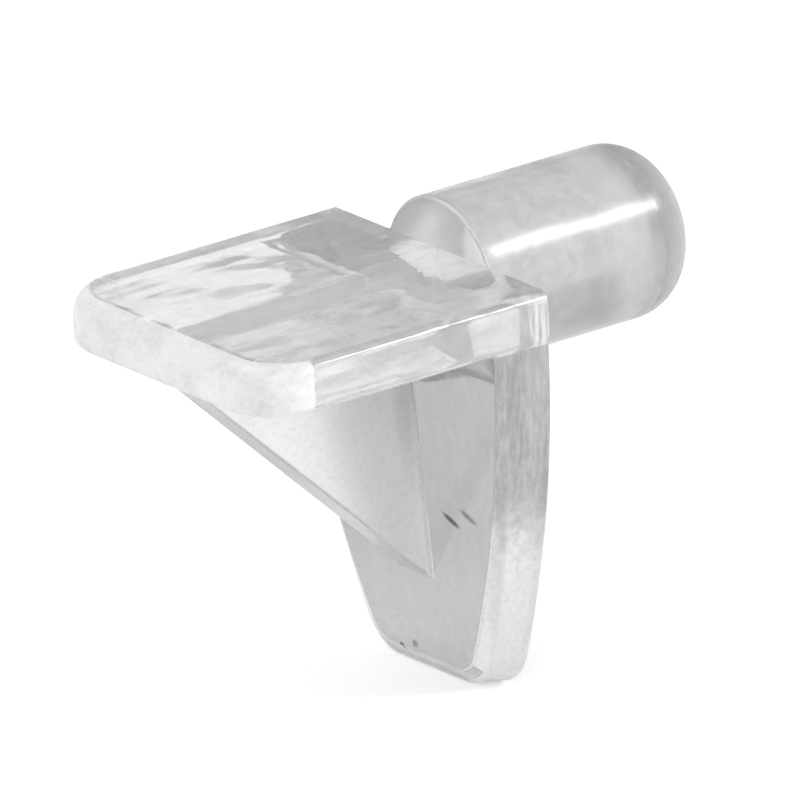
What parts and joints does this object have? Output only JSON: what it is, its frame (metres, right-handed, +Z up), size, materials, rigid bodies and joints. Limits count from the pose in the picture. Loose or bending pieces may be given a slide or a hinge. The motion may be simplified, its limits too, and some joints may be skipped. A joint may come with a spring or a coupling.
{
  "type": "shelf support pin",
  "caption": "Clear plastic shelf support: a round pin for a cabinet side, with a wall plate and a ledge braced by a web that a shelf rests on.",
  "frame": {"origin": "on the pin's axis, in the plane of the plate's rear face", "axes": "+Y along the pin into the cabinet side, +Z up towards the shelf, X across the ledge"},
  "size_m": [0.0126, 0.0217, 0.0173],
  "materials": {
    "clear_plastic": "clear, glossy"
  },
  "bodies": {
    "root": {"support": "clear_plastic"}
  },
  "joints": []
}
